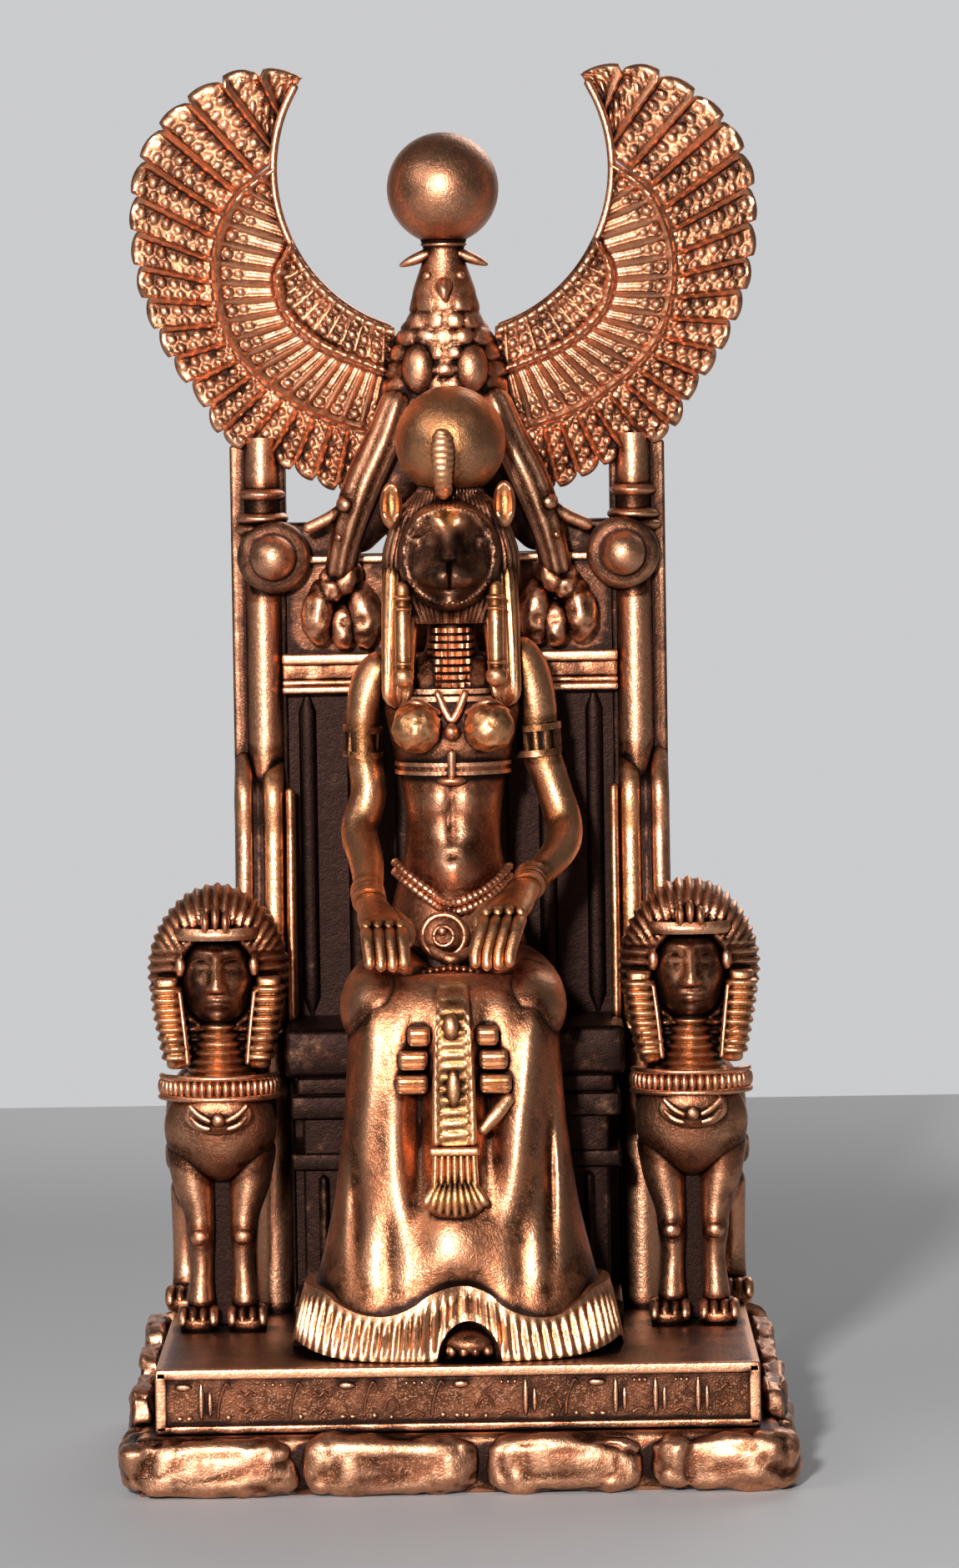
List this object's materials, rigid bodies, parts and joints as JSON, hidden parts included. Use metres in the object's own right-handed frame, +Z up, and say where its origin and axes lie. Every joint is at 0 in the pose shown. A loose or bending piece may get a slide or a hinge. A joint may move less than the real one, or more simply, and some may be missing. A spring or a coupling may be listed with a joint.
{
  "type": "enthroned goddess statuette",
  "caption": "Plated resin statuette of a lioness-headed goddess on a throne, flanked by sphinxes, under a falcon with raised wings, on an inscribed plinth and rock base.",
  "frame": {"origin": "centre of the underside of the rock base", "axes": "+Z up, the goddess faces -Y, +X to the viewer's right"},
  "size_m": [0.1254, 0.0984, 0.261],
  "materials": {
    "dark_copper": "copper plating over cast resin, dark brown patina with rubbed edges",
    "aged_copper": "copper plating over cast resin, near black recesses and rubbed red copper high spots",
    "golden_copper": "copper plating with a golden tone, speckled sheen and dark recesses"
  },
  "bodies": {
    "root": {"rock_base": "dark_copper", "plinth": "dark_copper", "throne": "aged_copper", "winged_falcon": "aged_copper", "goddess": "golden_copper", "sphinx_left": "aged_copper", "sphinx_right": "aged_copper"}
  },
  "joints": []
}
